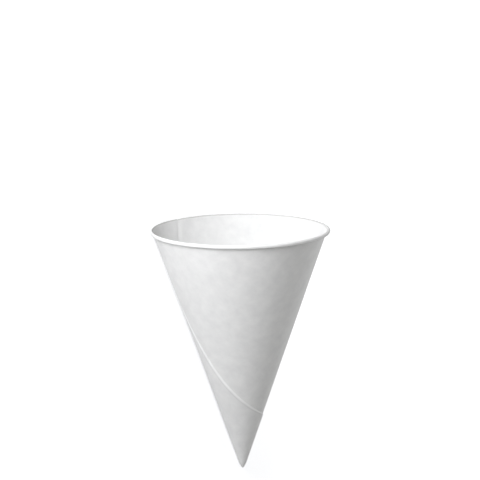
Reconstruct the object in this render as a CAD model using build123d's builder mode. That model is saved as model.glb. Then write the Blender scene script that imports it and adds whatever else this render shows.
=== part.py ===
"""Cone paper cup, wound from one sheet, lapped, glued and rolled over at the rim.

At the rim the sheet goes about 1.1 times round, and at the tip about 1.5 times.

The cup lies on its side along X, on the tip and on the rolled rim, with the wide part of its lap underneath.
The origin is on the floor, halfway along the cup's length.
Heights along the cup run from the inner cone's point to the mouth. Turns are degrees round the cup, seen from
the mouth, and start where the sheet's inner edge meets the rim.
"""
import os
from math import acosh, asin, atan, atan2, cos, degrees, hypot, radians, sin, sinh, tan

from build123d import *

# Driving dimensions, in millimetres and degrees.
rim_diameter = 72.0         # across the rolled rim
half_angle = 19.05          # between the wall and the cup's axis
paper = 0.25                # thickness of the sheet
bead_diameter = 1.6         # rolled rim, measured across the roll
curl_turn = 290.0           # how far the sheet rolls over from the wall
tip_radius = 0.95           # outside of the blunt tip, where the sheet lies double
down_turn = 24.0            # side that lies on the floor

# The two cut edges of the wound sheet.
lead_twist = 56.0           # turn of the inner edge between the rim and the tip
lap_width = 24.9            # from the cup's point to the straight outer edge, in the flat sheet
lap_foot_turn = 272.5       # where that edge would come nearest to the point, beyond one full turn
ramp_width = 2.5            # over which the sheet climbs onto its own inner edge
bevel_width = 1.1           # over which the outer edge thins out
widest_ramp = 0.35          # the ramp's share of the radius near the tip
widest_bevel = 0.20         # the bevel's share of the radius near the tip
step_foot_height = 1.6      # lowest point of the step that the inner edge makes inside
roll_step_depth = 0.2       # the same step where it crosses the roll

# How the form is drawn.
roll_flat_count = 10        # short flats that make up the roll
lead_section_count = 9      # sections along the inner edge
lap_section_count = 14      # sections along the straight outer edge
bury = 0.1                  # how far the second layer reaches into the first
clear = 1.0                 # how far a cutter reaches past what it cuts
past_axis = 0.05            # how far the cutter's inner corner lies past the cup's axis

# Worked out from the driving dimensions.
slope = radians(half_angle)
bead_radius = bead_diameter / 2
wall_slant = (rim_diameter / 2 - bead_radius * (1 + cos(slope))) / sin(slope)
wall_height = wall_slant * cos(slope)
across = paper / cos(slope)                       # the sheet's thickness, measured level
bead_centre = (rim_diameter / 2 - bead_radius, wall_height - bead_radius * sin(slope))
tip_ball = tip_radius - 2 * paper                 # the hollow inside the tip
tip_centre = tip_ball / sin(slope)
last_turn = lead_twist + 180 / sin(slope)         # the sheet's lowest cut runs through the cup's point
corner_slant = lap_width / cos(radians((last_turn - 360 - lap_foot_turn) * sin(slope)))

# Lying on its side, on the tip and on the rolled rim. The rim's end is measured from the tip's centre.
reach = hypot(bead_centre[0], bead_centre[1] - tip_centre)
lying_angle = atan2(bead_centre[0], bead_centre[1] - tip_centre) + asin((bead_radius - tip_radius) / reach)
cup_axis = Vector(cos(lying_angle), 0, sin(lying_angle))
down_side = Vector(sin(lying_angle), 0, -cos(lying_angle))
rim_end = (bead_centre[1] - tip_centre) * cos(lying_angle) + bead_centre[0] * sin(lying_angle) + bead_radius
tip_place = Vector(-(rim_end - tip_radius) / 2, 0, tip_radius)
cup_origin = tip_place - cup_axis * tip_centre
start_side = down_side.rotate(Axis((0, 0, 0), cup_axis), -down_turn)
cup_plane = Plane(origin=cup_origin, x_dir=start_side, z_dir=cup_axis)
turning_axis = Axis(cup_origin, cup_axis)


def axial_plane(turn):
    """Plane through the axis at a turn, with its x outwards and its y along the axis."""
    outwards = cup_plane.x_dir.rotate(turning_axis, turn)
    return Plane(origin=cup_origin, x_dir=outwards, z_dir=outwards.cross(cup_axis))


def at(radius, turn):
    """Point of a level section, from its radius and turn."""
    return (radius * cos(radians(turn)), radius * sin(radians(turn)))


def spaced(first, last, count):
    """Evenly spaced values, with both ends."""
    return [first + (last - first) * i / (count - 1) for i in range(count)]


def lead_edge(height):
    """Turn of the inner edge at a height."""
    return lead_twist * (1 - height / wall_height)


def lap_edge(slant):
    """Turn of the sheet's end: a straight slanting edge, and below the corner the lowest cut."""
    if slant <= corner_slant:
        return last_turn
    return 360 + lap_foot_turn + degrees(atan(-((slant / lap_width) ** 2 - 1) ** 0.5)) / sin(slope)


def ramp_turn(radius):
    """Turn over which the sheet climbs onto its inner edge."""
    return degrees(min(ramp_width / radius, widest_ramp))


def roll_points(radius):
    """Corners of the roll's short flats, from the wall to the curl's end."""
    turns = spaced(180 - half_angle, 180 - half_angle - curl_turn, roll_flat_count + 1)
    return [(bead_centre[0] + x, bead_centre[1] + y) for x, y in (at(radius, turn) for turn in turns)]


def layer_section(inside, outside):
    """One layer of tip, wall and roll in the plane through the axis, given by its depths in the paper."""
    with BuildSketch(axial_plane(0)) as section:
        with BuildLine():
            near_tip = CenterArc((0, tip_centre), tip_ball + inside, -90, 90 - half_angle)
            far_tip = CenterArc((0, tip_centre), tip_ball + outside, -90, 90 - half_angle)
            near_side = Polyline(near_tip @ 1, *roll_points(bead_radius - inside))
            far_side = Polyline(far_tip @ 1, *roll_points(bead_radius - outside))
            Line(near_tip @ 0, far_tip @ 0)
            Line(near_side @ 1, far_side @ 1)
        make_face()
    return section.sketch


def bare_section(slant):
    """The side of the cup without a second layer, from its bevelled outer edge round to its climb."""
    height = slant * cos(slope)
    first_top = height * tan(slope) + across
    second_top = first_top + across
    start_turn = 360 + lead_edge(height)
    end_turn = lap_edge(slant)
    bevel_end = end_turn - degrees(min(bevel_width / first_top, widest_bevel))
    climb_turn = start_turn - ramp_turn(first_top)
    corner = at(past_axis, (climb_turn + end_turn) / 2)
    far = rim_diameter / 2 + clear
    with BuildSketch(cup_plane.offset(height)) as section:
        with BuildLine():
            Polyline(corner, at(first_top, end_turn), at(second_top, bevel_end), at(far, bevel_end))
            CenterArc((0, 0), far, bevel_end, start_turn + 360 - bevel_end)
            Polyline(at(far, start_turn), at(second_top, start_turn), at(first_top, climb_turn), corner)
        make_face()
    return section.sketch


def step_section(height):
    """Wedge cut from the inside, where the sheet climbs up to its own inner edge."""
    inner = height * tan(slope)
    turn = lead_edge(height)
    foot_turn = turn - ramp_turn(inner)
    with BuildSketch(cup_plane.offset(height)) as section:
        with BuildLine():
            Polyline(
                at(inner - bury, foot_turn),
                at(inner, foot_turn),
                at(inner + across, turn),
                at(inner - bury, turn),
                close=True,
            )
        make_face()
    return section.sketch


def rolled_step_section(turn, depth):
    """The same wedge on the roll, at a turn, down to a depth."""
    with BuildSketch(axial_plane(turn)) as section:
        with BuildLine():
            outside = Polyline(*roll_points(bead_radius + bury))
            inside = Polyline(*roll_points(bead_radius - depth))
            Line(outside @ 0, inside @ 0)
            Line(outside @ 1, inside @ 1)
        make_face()
    return section.sketch


# Slants of the sections along the outer edge: two below the sheet's corner, then along the straight cut.
cut_ends = corner_slant, wall_slant + bead_diameter
cut_steps = spaced(*[acosh(slant / lap_width) for slant in cut_ends], lap_section_count)
cut_slants = [0.0, corner_slant / 2] + [lap_width * (1 + sinh(step) ** 2) ** 0.5 for step in cut_steps]

with BuildPart() as second_layer:
    # A full second layer, less the side of the cup that it doesn't cover.
    revolve(layer_section(paper - bury, 2 * paper), axis=turning_axis)
    loft([bare_section(slant) for slant in cut_slants], ruled=True, mode=Mode.SUBTRACT)

with BuildPart() as cone_cup:
    # One turn of paper, with the rim rolled outwards, and the second layer on it.
    revolve(layer_section(0, paper), axis=turning_axis)
    add(second_layer.part)

    # The step at the inner edge, seen inside the cup and across the roll.
    step_heights = spaced(step_foot_height, wall_height, lead_section_count)
    loft([step_section(height) for height in step_heights], mode=Mode.SUBTRACT)
    rim_ramp = ramp_turn(wall_slant * sin(slope))
    roll_steps = [rolled_step_section(-rim_ramp, 0), rolled_step_section(0, roll_step_depth)]
    loft(roll_steps, ruled=True, mode=Mode.SUBTRACT)

cone_cup.part.label = "cone_cup"

os.makedirs("parts", exist_ok=True)
export_step(cone_cup.part, "parts/cone_cup.step")
print(f"rim {rim_diameter:.1f} mm, wall {wall_height:.1f} mm high")
print(f"the axis leans {degrees(lying_angle):.2f} degrees off the floor")
print(f"volume {cone_cup.part.volume:.1f} cubic mm, {len(cone_cup.part.solids())} solid")
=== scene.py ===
# %% [markdown]
# # A cone paper cup, wound from one sheet
#
# The cup is one sheet of white paper. It is wound into a cone, glued along its lap and rolled over
# at the rim. It can't stand on its tip, so it lies on its side on a white table, and the camera
# looks down on it.
#
# The lesson goes in this order: the sizes, how the cup lies, the rule that winds the sheet, the
# node tree, the paper, the table, the light and the camera.

# %% The frame
from math import asin, atan2, cos, degrees, hypot, radians, sin

import bpy
from mathutils import Matrix, Vector


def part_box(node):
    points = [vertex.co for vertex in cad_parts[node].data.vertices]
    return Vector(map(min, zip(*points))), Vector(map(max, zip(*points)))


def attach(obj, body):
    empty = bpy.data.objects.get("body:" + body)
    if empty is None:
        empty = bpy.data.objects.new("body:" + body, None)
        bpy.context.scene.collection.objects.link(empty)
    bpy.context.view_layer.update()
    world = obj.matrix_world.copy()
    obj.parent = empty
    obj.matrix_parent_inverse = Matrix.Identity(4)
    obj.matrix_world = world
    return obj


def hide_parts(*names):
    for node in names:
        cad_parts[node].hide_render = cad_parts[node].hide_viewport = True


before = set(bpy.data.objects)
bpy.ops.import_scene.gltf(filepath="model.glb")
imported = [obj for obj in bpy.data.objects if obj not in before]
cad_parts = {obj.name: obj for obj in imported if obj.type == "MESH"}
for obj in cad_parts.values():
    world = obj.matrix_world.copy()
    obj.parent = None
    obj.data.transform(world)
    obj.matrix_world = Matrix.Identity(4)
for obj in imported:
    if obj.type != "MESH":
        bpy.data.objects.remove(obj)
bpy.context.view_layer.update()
low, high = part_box("cone_cup")
solid = high - low
print(f"the solid cup is {solid.x:.4f} m long, {solid.y:.4f} m wide and {solid.z:.4f} m high")

# %% [markdown]
# ## Sizes
#
# Everything follows from a few sizes of the real cup. They could be typed in wherever they are
# needed, but then one change would have to be made in many places. Blender counts in metres, so
# each is written in millimetres and multiplied by MM.
#
# Turns go round the cup, seen from its mouth, and start where the sheet's inner edge meets the
# rim. A slant is a distance along the wall's slope, from the point of the inner cone.

# %% Units
MM = 0.001
QUARTER_TURN = radians(90)
HALF_TURN = radians(180)
FULL_TURN = radians(360)
print(f"a full turn is {FULL_TURN:.4f} radians")

# %% Sizes of the cup
RIM_DIAMETER = 72.0 * MM        # across the rolled rim
HALF_ANGLE = radians(19.05)     # between the wall and the cup's axis
PAPER = 0.25 * MM               # thickness of the sheet
BEAD_DIAMETER = 1.6 * MM        # of the rolled rim, across the roll
CURL_TURN = radians(290)        # how far the sheet rolls over from the wall
TIP_RADIUS = 0.95 * MM          # outside of the blunt tip, where the sheet lies double
DOWN_TURN = radians(24)         # side that lies on the table

bead_radius = BEAD_DIAMETER / 2
rim_radius = RIM_DIAMETER / 2
roll_depth = bead_radius * (1 + cos(HALF_ANGLE))
wall_slant = (rim_radius - roll_depth) / sin(HALF_ANGLE)
wall_height = wall_slant * cos(HALF_ANGLE)
rolled_in = CURL_TURN * bead_radius
tip_ball = TIP_RADIUS - 2 * PAPER
tip_slant = tip_ball * cos(HALF_ANGLE) / sin(HALF_ANGLE)
print(f"the wall is {wall_slant / MM:.1f} mm along its slope, {wall_height / MM:.1f} mm high")

# %% The sheet's two cut edges
LEAD_TWIST = radians(56)        # turn of the inner edge between the rim and the tip
LAP_WIDTH = 23.85 * MM          # from the cup's point to the straight outer cut, in the flat sheet
LAP_FOOT_TURN = radians(275.1)  # where that cut would come nearest to the point, past a full turn
RAMP_WIDTH = 2.5 * MM           # over which the sheet climbs onto its own inner edge
WIDEST_RAMP = 0.35              # the ramp's turn near the tip, in radians
LIP_WIDTH = 1.9 * MM            # over which the outer edge thins out
WIDEST_LIP = 0.2                # the lip's turn near the tip, in radians

last_turn = LEAD_TWIST + HALF_TURN / sin(HALF_ANGLE)
corner_slant = LAP_WIDTH / cos((last_turn - FULL_TURN - LAP_FOOT_TURN) * sin(HALF_ANGLE))
print(f"the outer edge's corner is {corner_slant / MM:.1f} mm up the slope")

# %% [markdown]
# ## How it lies
#
# A real cone cup that is put down rolls onto its side and rests on its tip and its rolled rim. The
# finished mesh could be turned by hand until it seems to touch, but it would float or sink a
# little. Both places that touch are round, and their sizes are known, so the angle at which the
# axis leans is worked out instead. The solid is laid down in the same way, so the wound sheet lies
# where the solid is.

# %% The cup's own frame, lying down
bead_out = rim_radius - bead_radius
bead_up = wall_height - bead_radius * sin(HALF_ANGLE)
tip_up = tip_ball / sin(HALF_ANGLE)
reach = hypot(bead_out, bead_up - tip_up)
lying_angle = atan2(bead_out, bead_up - tip_up) + asin((bead_radius - TIP_RADIUS) / reach)
cup_axis = Vector((cos(lying_angle), 0, sin(lying_angle)))
down_side = Vector((sin(lying_angle), 0, -cos(lying_angle)))
rim_end = (bead_up - tip_up) * cos(lying_angle) + bead_out * sin(lying_angle) + bead_radius
cup_origin = Vector((-(rim_end - TIP_RADIUS) / 2, 0, TIP_RADIUS)) - cup_axis * tip_up


def side_at(turn):
    """Direction straight out from the cup's axis at a turn."""
    return Matrix.Rotation(turn - DOWN_TURN, 3, cup_axis) @ down_side


lying = Matrix((side_at(0), cup_axis.cross(side_at(0)), cup_axis)).transposed().to_4x4()
lying.translation = cup_origin
print(f"the axis leans {degrees(lying_angle):.2f} degrees off the table")

# %% [markdown]
# ## Fields
#
# A node tree works out its numbers for every point at once. Such a number is called a field. The
# nodes could be added one by one, but a long formula is hard to read in that form. This small
# class lets Python's own signs add the Math nodes.

# %% Feeding a socket


def connect(tree, value, socket):
    """Feeds a socket from a field, or sets it to a plain value."""
    if isinstance(value, Field):
        tree.links.new(value.socket, socket)
    else:
        socket.default_value = value


def worked_out(tree, operation, *values, clamp=False):
    """One Math node over fields and plain numbers."""
    node = tree.nodes.new("ShaderNodeMath")
    node.operation = operation
    node.use_clamp = clamp
    for value, socket in zip(values, node.inputs):
        connect(tree, value, socket)
    return Field(tree, node.outputs[0])


# %% Fields


class Field:
    """A number inside a node tree that differs from point to point."""

    def __init__(self, tree, socket):
        self.tree = tree
        self.socket = socket

    def math(self, operation, *others):
        return worked_out(self.tree, operation, self, *others)

    def __add__(self, other):
        return self.math("ADD", other)

    def __sub__(self, other):
        return self.math("SUBTRACT", other)

    def __rsub__(self, other):
        return worked_out(self.tree, "SUBTRACT", other, self)

    def __mul__(self, other):
        return self.math("MULTIPLY", other)

    def __truediv__(self, other):
        return self.math("DIVIDE", other)

    def __rtruediv__(self, other):
        return worked_out(self.tree, "DIVIDE", other, self)

    __radd__ = __add__
    __rmul__ = __mul__

    def sin(self):
        return self.math("SINE")

    def cos(self):
        return self.math("COSINE")

    def least(self, other):
        return self.math("MINIMUM", other)

    def most(self, other):
        return self.math("MAXIMUM", other)

    def share(self, first, last):
        """0 before first, 1 after last, and even in between."""
        return worked_out(self.tree, "DIVIDE", self - first, last - first, clamp=True)

    def band(self, first, full, fading, last):
        """0 before first, 1 from full to fading, and 0 again after last."""
        return self.share(first, full) * (1.0 - self.share(fading, last))

    def eased(self):
        """A share with a soft start and end."""
        return self * self * (3.0 - 2.0 * self)


# %% Places, vectors and noise


def place_fields(tree):
    """The three coordinates of each point, as the mesh stands at the node that reads them."""
    place = tree.nodes.new("GeometryNodeInputPosition")
    parts = tree.nodes.new("ShaderNodeSeparateXYZ")
    tree.links.new(place.outputs[0], parts.inputs[0])
    return [Field(tree, socket) for socket in parts.outputs]


def vector_field(tree, *parts):
    """Three numbers as one vector."""
    node = tree.nodes.new("ShaderNodeCombineXYZ")
    for value, socket in zip(parts, node.inputs):
        connect(tree, value, socket)
    return Field(tree, node.outputs[0])


def noise_field(tree, place, scale, detail, roughness):
    """A noise texture as a field."""
    node = tree.nodes.new("ShaderNodeTexNoise")
    node.inputs["Detail"].default_value = detail
    node.inputs["Roughness"].default_value = roughness
    connect(tree, place, node.inputs["Vector"])
    connect(tree, scale, node.inputs["Scale"])
    return Field(tree, node.outputs[0])


# %% [markdown]
# ## The sheet's rule
#
# The real cup starts as a flat sheet. A cone primitive or a turned outline would give its wall,
# but not the two free edges of the sheet, the lap between them or the paper's thickness inside the
# roll. So a thin slab stands for the sheet, and one rule bends it into the cup. The slab's first
# coordinate runs along the winding, its second from the tip to the end of the roll, and its third
# through the paper.
#
# The path from tip to roll is a straight wall between two arcs. One goes round the blunt tip, and
# the other round the rolled rim, where the arc's radius counts as negative because the path turns
# over outwards. The heading is the angle that the path has turned. Every point lies on the path,
# or off it along the normal by its depth in the paper, so one formula holds for tip, wall and
# roll.
#
# The sheet's outer corner divides the wall into a foot below it and the rest above. Rows crowd
# together at the start of both, where the winding changes fastest.

# %% Rows from the tip to the roll's end
TIP_ROWS = 6
FOOT_ROWS = 28
WALL_ROWS = 64
ROLL_ROWS = 30
ROWS = TIP_ROWS + FOOT_ROWS + WALL_ROWS + ROLL_ROWS
TIP_END = TIP_ROWS / ROWS
FOOT_END = (TIP_ROWS + FOOT_ROWS) / ROWS
WALL_END = (TIP_ROWS + FOOT_ROWS + WALL_ROWS) / ROWS
FOOT_CROWDING = 1.6
WALL_CROWDING = 1.9
print(f"{ROWS} rows of faces, {ROLL_ROWS} of them in the roll")

# %% The path from tip to roll


def path_of(v):
    """Slant along the wall, heading, arc radius and share of the roll for each row of the slab."""
    foot = v.share(TIP_END, FOOT_END).math("POWER", FOOT_CROWDING)
    wall = v.share(FOOT_END, WALL_END).math("POWER", WALL_CROWDING)
    slant = tip_slant + foot * (corner_slant - tip_slant) + wall * (wall_slant - corner_slant)
    tip = 1.0 - v.share(0.0, TIP_END)
    roll = v.share(WALL_END, 1.0)
    heading = HALF_ANGLE + tip * (QUARTER_TURN - HALF_ANGLE) + roll * CURL_TURN
    arc = tip_ball - v.math("GREATER_THAN", FOOT_END) * (tip_ball + bead_radius)
    return slant, heading, arc, roll


# %% [markdown]
# ## The winding
#
# Across the slab there are four stretches. The first goes once round the cup. The second climbs by
# one thickness of paper onto the sheet's own inner edge. The third lies on the first as the lap.
# The last is the lip along the outer edge, which is pressed down and thins out.
#
# The slanting line on the cup is that outer edge. It could be traced by eye, but it is one
# straight cut in the flat sheet, and that gives its whole course. On a cone that has been rolled
# out flat, a straight line at distance d from the point has slant = d / cos(angle). Winding it up
# again gives the turn at which the sheet ends, for every slant.

# %% Columns along the winding
ROUND_COLUMNS = 228
RAMP_COLUMNS = 12
LAP_COLUMNS = 76
LIP_COLUMNS = 14
COLUMNS = ROUND_COLUMNS + RAMP_COLUMNS + LAP_COLUMNS + LIP_COLUMNS
ROUND_END = ROUND_COLUMNS / COLUMNS
RAMP_END = (ROUND_COLUMNS + RAMP_COLUMNS) / COLUMNS
LAP_END = 1 - LIP_COLUMNS / COLUMNS
print(f"{COLUMNS} columns of faces, {LAP_COLUMNS + LIP_COLUMNS} of them in the second layer")

# %% The turn of each point


def turn_of(u, slant, roll):
    """Turn of each point of the slab, and its shares of the ramp, the lap and the lip."""
    past_corner = slant.most(corner_slant)
    edge_angle = (LAP_WIDTH / past_corner).math("ARCCOSINE")
    last = FULL_TURN + LAP_FOOT_TURN - edge_angle / sin(HALF_ANGLE)
    along = slant + roll * rolled_in
    lead = LEAD_TWIST * (1.0 - along / wall_slant)
    radius = slant * sin(HALF_ANGLE) + PAPER
    ramp_turn = (RAMP_WIDTH / radius).least(WIDEST_RAMP)
    lip_turn = (LIP_WIDTH / radius).least(WIDEST_LIP)
    ramp = u.share(ROUND_END, RAMP_END)
    lap = u.share(RAMP_END, LAP_END)
    lip = u.share(LAP_END, 1.0)
    turn = lead + u.share(0.0, ROUND_END) * (FULL_TURN - ramp_turn) + ramp * ramp_turn
    turn = turn + lap * (last - lip_turn - FULL_TURN - lead) + lip * lip_turn
    return turn, ramp, lap, lip


# %% [markdown]
# ## Depth in the paper
#
# The depth says how far a point lies outside the inner cone: the layers below it and its place in
# the paper. A hair of glue keeps the two layers apart, so that no face lies on another. Stiff
# paper can't follow the step of its own inner edge, so it bridges the step and leaves a thin gap.
# The outer edge was pressed down while the glue was wet: it thins out over its last two
# millimetres, most steeply at the cut. Near the very tip the layers are pressed into each other.
#
# Wound paper is never a perfect cone. Its points could be pushed about by hand, but that soon
# looks lumpy, so a slow noise of about a tenth of a millimetre goes over the whole cup.

# %% The layers and the unevenness
GLUE = 0.015 * MM
BRIDGE_RISE = 0.04 * MM         # gap that the bridged step leaves
BRIDGE_BEND = 3.0               # how late on the ramp the bridge rises
BRIDGE_SHARE = 0.12             # share of the lap over which it comes down again
ROLL_APPROACH = 2 / ROWS        # the last rows of the wall, where the bridge is pressed flat
CUT_THICKNESS = 0.05 * MM       # of the paper at its outer cut
PRESSED_TIP = 2.0 * MM          # of the slope, over which the layers come apart
UNEVEN = 0.22 * MM              # of the noise, from its lowest to its highest possible value
UNEVEN_SIZE = 34 * MM
UNEVEN_DETAIL = 1.0
UNEVEN_ROUGHNESS = 0.5
UNEVEN_START = 8.0 * MM         # of the slope, over which the unevenness sets in
NOISE_MIDDLE = 0.5


def depth_of(tree, v, w, slant, ramp, lap, lip, path):
    """Distance of each point from the inner cone."""
    pressed = (slant - tip_slant).share(0.0, PRESSED_TIP).eased()
    on_wall = 1.0 - v.share(WALL_END - ROLL_APPROACH, WALL_END)
    bridge = ramp.math("POWER", BRIDGE_BEND) * (1.0 - lap.share(0.0, BRIDGE_SHARE).eased())
    layers = ramp * (PAPER + GLUE) * pressed + bridge * BRIDGE_RISE * pressed * on_wall
    thickness = PAPER - lip * lip * (PAPER - CUT_THICKNESS) * pressed
    noise = noise_field(tree, path, 1 / UNEVEN_SIZE, UNEVEN_DETAIL, UNEVEN_ROUGHNESS)
    uneven = (noise - NOISE_MIDDLE) * UNEVEN * slant.share(0.0, UNEVEN_START)
    return layers + uneven + w * thickness


print(f"the second layer lies {(PAPER + GLUE) / MM:.3f} mm above the first")

# %% [markdown]
# ## The squeezed side
#
# On the side at the photograph's left, the roll was squeezed narrower than on the rest of the rim.
# The roll could be made thinner there, but the rim's outside is where it should be. So the wall
# below the roll is bent outwards to meet it, and the bend fades out down the wall and round the
# cup.

# %% The flare below the roll
FLARE = 0.7 * MM
FLARE_TURN = radians(41.7)      # the middle of the squeezed side
FLARE_START = 55 * MM           # slant at which the bend starts


def flare_of(out, slant, turn):
    """Distance by which the wall is bent outwards on the squeezed side."""
    side = (turn - FLARE_TURN).cos().most(0.0)
    below_roll = (rim_radius - out).share(0.0, roll_depth)
    return side * below_roll * slant.share(FLARE_START, wall_slant).eased() * FLARE


print(f"the wall bends out by up to {FLARE / MM:.1f} mm below the roll")

# %% [markdown]
# ## The node tree
#
# Geometry Nodes make the slab, store what the paper's material has to know, bend the slab with the
# rule, merge the points that meet at the tip and mark the cut edges sharp. The same mesh could be
# written point by point in Python, but the nodes do it at once, and the tree's inputs are the
# numbers that a reader may want to try out.

# %% The slab bent into the cup
HALF_SLAB = 0.5                 # Blender's own cube runs from -0.5 to 0.5


def store(tree, geometry, name, kind, value):
    """Keeps a field on the mesh's points under a name, for the material to read."""
    node = tree.nodes.new("GeometryNodeStoreNamedAttribute")
    node.data_type = kind
    node.inputs["Name"].default_value = name
    tree.links.new(geometry, node.inputs["Geometry"])
    connect(tree, value, node.inputs["Value"])
    return node.outputs[0]


def flat_place(tree, w, slant, turn, roll):
    """Where each point lies in the flat sheet, which the paper's grain follows."""
    slant = slant + roll * rolled_in
    angle = turn * sin(HALF_ANGLE)
    return vector_field(tree, slant * angle.cos(), slant * angle.sin(), w * PAPER)


def bent(tree, slab):
    """The slab in the shape of the cup."""
    u, v, w = (coordinate + HALF_SLAB for coordinate in place_fields(tree))
    slant, heading, arc, roll = path_of(v)
    turn, ramp, lap, lip = turn_of(u, slant, roll)
    path_out = slant * sin(HALF_ANGLE) + arc * (heading.cos() - cos(HALF_ANGLE))
    path_up = slant * cos(HALF_ANGLE) - arc * (heading.sin() - sin(HALF_ANGLE))
    path = vector_field(tree, path_out * turn.cos(), path_out * turn.sin(), path_up)
    depth = depth_of(tree, v, w, slant, ramp, lap, lip, path)
    out = path_out + depth * heading.cos()
    out = out + flare_of(out, slant, turn)
    up = path_up - depth * heading.sin()

    # The shares of the lip and of the roll go along, so that painted shade and a painted highlight
    # can go on the paper there.
    flat = flat_place(tree, w, slant, turn, roll)
    stored = store(tree, slab, "flat_sheet", "FLOAT_VECTOR", flat)
    stored = store(tree, stored, "cut_edge", "FLOAT", lip)
    stored = store(tree, stored, "rolled", "FLOAT", roll)

    bend = tree.nodes.new("GeometryNodeSetPosition")
    tree.links.new(stored, bend.inputs["Geometry"])
    place = vector_field(tree, out * turn.cos(), out * turn.sin(), up)
    connect(tree, place, bend.inputs["Position"])
    return bend.outputs[0]


# %% Closing the tip
AXIS_REACH = 0.01 * MM
MERGE_DISTANCE = 0.001 * MM


def closed_tip(tree, geometry):
    """The cup with its first row merged into one point on each side of the paper."""
    x, y, _ = place_fields(tree)
    off_axis = (x * x + y * y).math("SQRT")
    merge = tree.nodes.new("GeometryNodeMergeByDistance")
    merge.inputs["Distance"].default_value = MERGE_DISTANCE
    tree.links.new(geometry, merge.inputs["Geometry"])
    connect(tree, off_axis.math("LESS_THAN", AXIS_REACH), merge.inputs["Selection"])
    return merge.outputs[0]


# %% Smooth faces and sharp cuts
SHARP_ANGLE = radians(16)


def sharp_at_cuts(tree, geometry):
    """The cup with smooth faces, apart from the edges along its cuts."""
    smooth = tree.nodes.new("GeometryNodeSetShadeSmooth")
    tree.links.new(geometry, smooth.inputs["Geometry"])
    angle = tree.nodes.new("GeometryNodeInputMeshEdgeAngle")
    sharp = Field(tree, angle.outputs["Unsigned Angle"]).math("GREATER_THAN", SHARP_ANGLE)
    cuts = tree.nodes.new("GeometryNodeSetShadeSmooth")
    cuts.domain = "EDGE"
    cuts.inputs["Shade Smooth"].default_value = False
    tree.links.new(smooth.outputs[0], cuts.inputs["Geometry"])
    connect(tree, sharp, cuts.inputs["Selection"])
    return cuts.outputs[0]


# %% The tree that winds the sheet
SIDES_OF_PAPER = 2              # rows of points through the paper


def wind_tree():
    """Geometry Nodes tree that winds one slab of paper into the cup."""
    tree = bpy.data.node_groups.new("Wind the paper", "GeometryNodeTree")
    for name, kind in (("Columns", "Int"), ("Rows", "Int"), ("Paper material", "Material")):
        tree.interface.new_socket(name, in_out="INPUT", socket_type=f"NodeSocket{kind}")
    tree.interface.new_socket("Geometry", in_out="OUTPUT", socket_type="NodeSocketGeometry")
    given = tree.nodes.new("NodeGroupInput")
    result = tree.nodes.new("NodeGroupOutput")

    slab = tree.nodes.new("GeometryNodeMeshCube")
    tree.links.new(given.outputs["Columns"], slab.inputs["Vertices X"])
    tree.links.new(given.outputs["Rows"], slab.inputs["Vertices Y"])
    slab.inputs["Vertices Z"].default_value = SIDES_OF_PAPER
    cup = sharp_at_cuts(tree, closed_tip(tree, bent(tree, slab.outputs["Mesh"])))

    realize = tree.nodes.new("GeometryNodeRealizeInstances")
    tree.links.new(cup, realize.inputs[0])
    painted = tree.nodes.new("GeometryNodeSetMaterial")
    tree.links.new(realize.outputs[0], painted.inputs["Geometry"])
    tree.links.new(given.outputs["Paper material"], painted.inputs["Material"])
    tree.links.new(painted.outputs[0], result.inputs["Geometry"])
    return tree


# %% [markdown]
# ## Paper
#
# Cheap cup paper is matt and a little uneven: cloudy where its fibres lie thicker, with a fine
# tooth. A flat white would look like plastic, and a picture of paper would need a file and would
# repeat. Noise does neither. It follows the flat sheet, because paper is made flat and wound
# later. A node group holds the cloudiness and the tooth, and the material places it with its own
# values.
#
# Four narrow bands follow the sheet's edges, and the photograph shows them all. The lip at the
# outer cut is painted whiter: the fresh cut's own white with a painted highlight on it, and a thin
# painted shade runs along the crease beside it. The shoulder on top of the roll is painted grey as
# painted shade, and the end of the sheet, tucked under the roll, is painted dark as a painted
# shadow.

# %% Shader group for paper fibres
CLOUD_DETAIL = 3.0
CLOUD_ROUGHNESS = 0.6
TOOTH_DETAIL = 4.0
TOOTH_ROUGHNESS = 0.65
CLOUD_IN_HEIGHT = 0.5           # how much the clouds raise the paper, beside the tooth


def fibre_group():
    """Cloudiness and height of paper, from a place in the flat sheet."""
    tree = bpy.data.node_groups.new("Paper fibres", "ShaderNodeTree")
    for name, kind in (("Place", "Vector"), ("Cloud size", "Float"), ("Tooth size", "Float")):
        tree.interface.new_socket(name, in_out="INPUT", socket_type=f"NodeSocket{kind}")
    for name in ("Cloud", "Height"):
        tree.interface.new_socket(name, in_out="OUTPUT", socket_type="NodeSocketFloat")
    given = tree.nodes.new("NodeGroupInput")
    result = tree.nodes.new("NodeGroupOutput")
    place, cloud_size, tooth_size = (
        Field(tree, given.outputs[name]) for name in ("Place", "Cloud size", "Tooth size")
    )
    cloud = noise_field(tree, place, 1.0 / cloud_size, CLOUD_DETAIL, CLOUD_ROUGHNESS)
    tooth = noise_field(tree, place, 1.0 / tooth_size, TOOTH_DETAIL, TOOTH_ROUGHNESS)
    connect(tree, cloud, result.inputs["Cloud"])
    connect(tree, cloud * CLOUD_IN_HEIGHT + tooth, result.inputs["Height"])
    return tree


# %% Reading the sheet and mixing colours


def kept(tree, name, output):
    """Socket with what was stored on the sheet under a name."""
    node = tree.nodes.new("ShaderNodeAttribute")
    node.attribute_name = name
    return node.outputs[output]


def mixed(tree, share, first, second):
    """A colour between two colours, each plain or from a socket."""
    node = tree.nodes.new("ShaderNodeMix")
    node.data_type = "RGBA"
    connect(tree, share, node.inputs["Factor"])
    for value, name in ((first, "A"), (second, "B")):
        socket = next(s for s in node.inputs if s.name == name and s.type == "RGBA")
        if isinstance(value, tuple):
            socket.default_value = value
        else:
            tree.links.new(value, socket)
    return next(s for s in node.outputs if s.type == "RGBA")


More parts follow.
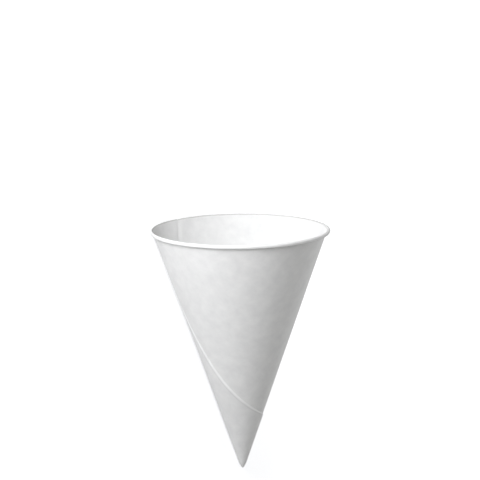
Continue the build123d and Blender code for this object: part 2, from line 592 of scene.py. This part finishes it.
# %% Colours and sizes of the paper
PAPER_WHITE = (0.86, 0.86, 0.855, 1.0)
PAPER_SHADE = (0.79, 0.79, 0.79, 1.0)
# Whiter than the paper: the fresh cut's own white, with a painted highlight along the lip.
CUT_WHITE_AND_HIGHLIGHT = (0.98, 0.98, 0.98, 1.0)
# Painted shade along the crease beside the lip.
CREASE_PAINTED_SHADE = (0.70, 0.70, 0.70, 1.0)
# Painted shade on the roll's shoulder.
SHOULDER_PAINTED_SHADE = (0.65, 0.65, 0.64, 1.0)
# Painted shadow on the sheet's end, tucked under the roll.
TUCK_PAINTED_SHADOW = (0.34, 0.34, 0.33, 1.0)
PAPER_ROUGHNESS = 0.62
PAPER_IOR = 1.4
CLOUD_SIZE = 4.5 * MM
TOOTH_SIZE = 0.7 * MM
TOOTH_HEIGHT = 0.02 * MM

# The bands are shares of the lip's width and of the roll's length. The clouds are noise values.
CLOUD_SPREAD = (0.3, 0.7)
CREASE_SHADE_BAND = (0.0, 0.06, 0.12, 0.3)
CUT_HIGHLIGHT_BAND = (0.3, 0.9)
SHOULDER_SHADE_BAND = (0.0, 0.04, 0.16, 0.22)
TUCK_SHADOW_BAND = (0.68, 0.80)
print(f"clouds of {CLOUD_SIZE / MM:.1f} mm and a tooth of {TOOTH_SIZE / MM:.1f} mm")

# %% Paper material


def paper_material():
    """Matt white paper with cloudy fibres, a whiter cut with a painted highlight, and painted
    shade.
    """
    material = bpy.data.materials.new("cup_paper")
    material.use_nodes = True
    tree = material.node_tree
    shader = tree.nodes["Principled BSDF"]
    shader.inputs["Roughness"].default_value = PAPER_ROUGHNESS
    shader.inputs["IOR"].default_value = PAPER_IOR

    fibres = tree.nodes.new("ShaderNodeGroup")
    fibres.node_tree = fibre_group()
    fibres.inputs["Cloud size"].default_value = CLOUD_SIZE
    fibres.inputs["Tooth size"].default_value = TOOTH_SIZE
    tree.links.new(kept(tree, "flat_sheet", "Vector"), fibres.inputs["Place"])

    cloud = Field(tree, fibres.outputs["Cloud"])
    lip = Field(tree, kept(tree, "cut_edge", "Fac"))
    roll = Field(tree, kept(tree, "rolled", "Fac"))
    colour = mixed(tree, cloud.share(*CLOUD_SPREAD), PAPER_SHADE, PAPER_WHITE)
    # Painted shade along the crease beside the lip.
    colour = mixed(tree, lip.band(*CREASE_SHADE_BAND), colour, CREASE_PAINTED_SHADE)
    # The lip painted whiter: the cut's own white with a painted highlight.
    colour = mixed(tree, lip.share(*CUT_HIGHLIGHT_BAND), colour, CUT_WHITE_AND_HIGHLIGHT)
    # Painted shade on the roll's shoulder.
    colour = mixed(tree, roll.band(*SHOULDER_SHADE_BAND), colour, SHOULDER_PAINTED_SHADE)
    # Painted shadow on the sheet's end, tucked under the roll.
    colour = mixed(tree, roll.share(*TUCK_SHADOW_BAND), colour, TUCK_PAINTED_SHADOW)
    tree.links.new(colour, shader.inputs["Base Color"])

    bump = tree.nodes.new("ShaderNodeBump")
    bump.inputs["Distance"].default_value = TOOTH_HEIGHT
    tree.links.new(fibres.outputs["Height"], bump.inputs["Height"])
    tree.links.new(bump.outputs["Normal"], shader.inputs["Normal"])
    print(f"the paper's material has {len(tree.nodes)} nodes")
    return material


# %% [markdown]
# ## Winding it
#
# A modifier runs the tree on an empty object. It could be left to run live, but everything that
# follows needs a plain mesh, so its result is copied and the object is removed. The mesh is laid
# on the table by the cup's frame, and its new object stays at the origin.

# %% The wound cup


def wound_cup():
    """The finished sheet as a plain mesh, lying on the table."""
    blank = bpy.data.objects.new("blank", bpy.data.meshes.new("blank"))
    bpy.context.scene.collection.objects.link(blank)
    tree = wind_tree()
    print(f"the tree that winds the sheet has {len(tree.nodes)} nodes")
    modifier = blank.modifiers.new("Wind the paper", "NODES")
    modifier.node_group = tree
    # The tree's inputs count points, and a row of faces has one more point than faces.
    values = {"Columns": COLUMNS + 1, "Rows": ROWS + 1, "Paper material": paper_material()}
    for item in tree.interface.items_tree:
        if item.name in values:
            modifier[item.identifier] = values[item.name]
    bpy.context.view_layer.update()
    evaluated = blank.evaluated_get(bpy.context.evaluated_depsgraph_get())
    mesh = bpy.data.meshes.new_from_object(evaluated)
    bpy.data.objects.remove(blank)
    mesh.name = "wound_sheet"
    mesh.transform(lying)
    sheet = bpy.data.objects.new("wound_sheet", mesh)
    bpy.context.scene.collection.objects.link(sheet)
    return sheet


sheet = wound_cup()
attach(sheet, "root")
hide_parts("cone_cup")
print(f"the sheet has {len(sheet.data.vertices)} points and {len(sheet.data.polygons)} faces")

# %% [markdown]
# ## Table
#
# In the picture the table has to be as white as paper. Stronger lamps would do that, but they
# would bleach the cup as well, so the camera sees a glow added to the table's colour. That glow is
# weaker near the cup, where the cup's soft shadow would be lost in it. A much weaker glow is sent
# to the cup, as from a light table, because the side that lies underneath is one that the
# photograph shows well lit.

# %% Strength for the eye and strength for the light


def added_for_eye(tree, plain, extra):
    """A strength for the light, with something extra for the camera and for reflections."""
    rays = tree.nodes.new("ShaderNodeLightPath")
    seen = Field(tree, rays.outputs["Is Camera Ray"])
    seen = seen.most(Field(tree, rays.outputs["Is Glossy Ray"]))
    seen = seen.most(Field(tree, rays.outputs["Is Transmission Ray"]))
    return seen * extra + plain


# %% Table material
TABLE_WHITE = (0.82, 0.82, 0.82, 1.0)
TABLE_GLOW_TINT = (0.975, 0.98, 1.0, 1.0)
TABLE_GLOW = 0.113              # that reaches the cup
TABLE_GLOW_NEAR = 0.60          # that the camera sees near the cup
TABLE_GLOW_SEEN = 0.84          # that the camera sees everywhere else
NEAR_CUP = 0.07                 # metres from the middle of the cup
FAR_FROM_CUP = 0.15


def table_material():
    """White table that glows a little, less so near the cup."""
    material = bpy.data.materials.new("white_table")
    material.use_nodes = True
    tree = material.node_tree
    tree.nodes.remove(tree.nodes["Principled BSDF"])
    matt = tree.nodes.new("ShaderNodeBsdfDiffuse")
    matt.inputs["Color"].default_value = TABLE_WHITE
    glow = tree.nodes.new("ShaderNodeEmission")
    glow.inputs["Color"].default_value = TABLE_GLOW_TINT
    place = tree.nodes.new("ShaderNodeTexCoord")
    away = tree.nodes.new("ShaderNodeVectorMath")
    away.operation = "LENGTH"
    tree.links.new(place.outputs["Object"], away.inputs[0])
    far = Field(tree, away.outputs["Value"]).share(NEAR_CUP, FAR_FROM_CUP)
    seen_glow = far * (TABLE_GLOW_SEEN - TABLE_GLOW_NEAR) + TABLE_GLOW_NEAR
    strength = added_for_eye(tree, TABLE_GLOW, seen_glow - TABLE_GLOW)
    connect(tree, strength, glow.inputs["Strength"])
    both = tree.nodes.new("ShaderNodeAddShader")
    tree.links.new(matt.outputs[0], both.inputs[0])
    tree.links.new(glow.outputs[0], both.inputs[1])
    tree.links.new(both.outputs[0], tree.nodes["Material Output"].inputs["Surface"])
    return material


# %% The table
TABLE_SIZE = 6.0

half = TABLE_SIZE / 2
table_mesh = bpy.data.meshes.new("table")
corners = [(-half, -half, 0), (half, -half, 0), (half, half, 0), (-half, half, 0)]
table_mesh.from_pydata(corners, [], [(0, 1, 2, 3)])
table_mesh.materials.append(table_material())
table = bpy.data.objects.new("table", table_mesh)
bpy.context.scene.collection.objects.link(table)
print(f"the table is {TABLE_SIZE:.0f} m square")

# %% [markdown]
# ## Light
#
# The photograph's light is soft, brightest on the left of the wall and on the right of the inside.
# One large lamp could light either of them, but not both. So two soft lamps stand low on the
# camera's side. The key lamp is near, so the rim gets more of it than the tip. The fill lamp
# stands further round towards the mouth and lights the inside. A third hangs above, behind the
# cup, and keeps its upper edge from going dark. A pale room does the rest.

# %% The room
ROOM_STRENGTH = 0.32
ROOM_STRENGTH_SEEN = 1.0
ROOM_TINT = (1.0, 1.0, 0.985, 1.0)

world = bpy.data.worlds.new("room")
bpy.context.scene.world = world
world.use_nodes = True
room = world.node_tree.nodes["Background"]
room.inputs["Color"].default_value = ROOM_TINT
room_light = added_for_eye(world.node_tree, ROOM_STRENGTH, ROOM_STRENGTH_SEEN - ROOM_STRENGTH)
connect(world.node_tree, room_light, room.inputs["Strength"])
print(f"the room lights the cup at {ROOM_STRENGTH:.2f} of white")

# %% The lamps
LAMP_TINT = (0.98, 0.985, 1.0)
LAMP_AIM = Vector((0, 0, 0.03))


def soft_lamp(name, direction, distance, width, height, watts):
    """Rectangular lamp that stands in a direction from the cup and shines at it."""
    data = bpy.data.lights.new(name, "AREA")
    data.energy = watts
    data.color = LAMP_TINT
    data.shape = "RECTANGLE"
    data.size = width
    data.size_y = height
    lamp = bpy.data.objects.new(name, data)
    bpy.context.scene.collection.objects.link(lamp)
    lamp.visible_camera = False
    side = Vector(direction).normalized()
    lamp.location = LAMP_AIM + side * distance
    lamp.rotation_euler = side.to_track_quat("Z", "Y").to_euler()
    print(f"{name}: {watts} W at {distance} m")


soft_lamp("key_lamp", (0.57, 0.82, 0.04), distance=0.26, width=0.14, height=0.06, watts=0.39)
soft_lamp("fill_lamp", (0.94, 0.34, 0.04), distance=0.45, width=0.20, height=0.08, watts=0.603)
soft_lamp("back_lamp", (-0.30, -0.72, 0.69), distance=0.24, width=0.12, height=0.12, watts=0.13)

# %% [markdown]
# ## Camera
#
# The photograph shows the cup upright, from a little above its rim. The cup could be stood up for
# the camera, but then it would hang in the air. So the camera keeps that view of the cup and lies
# down with it: it stands off the rim's middle, square to the side that faced it, and is raised
# towards the mouth. Its up is the cup's axis, so the picture shows the cup upright.

# %% What the photograph gives
IMAGE_SIDE = 480                # pixels
RIM_PIXEL = (240.40, 230.66)    # where the rim's middle is, from the picture's upper left
FOCAL_PIXELS = 1798.9
RIGHT_TURN = radians(221.7)     # side of the cup at the picture's right
BACK_TURN = radians(311.7)      # side of the cup that the camera doesn't see
CAMERA_DISTANCE = 720 * MM
CAMERA_RISE = radians(10.5)     # above the rim
CAMERA_ROLL = radians(-0.561)

right, back = side_at(RIGHT_TURN), side_at(BACK_TURN)
rim_middle = cup_origin + cup_axis * bead_up
level_up = back * sin(CAMERA_RISE) + cup_axis * cos(CAMERA_RISE)
backwards = cup_axis * sin(CAMERA_RISE) - back * cos(CAMERA_RISE)
picture_right = right * cos(CAMERA_ROLL) + level_up * sin(CAMERA_ROLL)
picture_up = level_up * cos(CAMERA_ROLL) - right * sin(CAMERA_ROLL)
print(f"the camera stands {degrees(CAMERA_RISE):.1f} degrees above the rim")

# %% The camera
SENSOR_WIDTH = 36.0             # Blender's own, in its millimetres of film

middle = IMAGE_SIDE / 2
aim = picture_right * (middle - RIM_PIXEL[0]) - picture_up * (middle - RIM_PIXEL[1])
aim = aim - backwards * FOCAL_PIXELS
aim.normalize()
camera_up = (picture_up - aim * picture_up.dot(aim)).normalized()
camera_right = aim.cross(camera_up)

camera_data = bpy.data.cameras.new("camera")
camera_data.sensor_width = SENSOR_WIDTH
camera_data.lens = FOCAL_PIXELS / IMAGE_SIDE * SENSOR_WIDTH
camera = bpy.data.objects.new("camera", camera_data)
bpy.context.scene.collection.objects.link(camera)
camera_place = Matrix((camera_right, camera_up, -aim)).transposed().to_4x4()
camera_place.translation = rim_middle + backwards * CAMERA_DISTANCE
camera.matrix_world = camera_place
bpy.context.scene.camera = camera
print(f"the camera looks down at {degrees(asin(-aim.z)):.1f} degrees")

# %% [markdown]
# ## Last
#
# A film-like view would grey the whites, so the view is set to show colours as they are written.

# %% Colours as they are written
bpy.context.scene.view_settings.view_transform = "Standard"
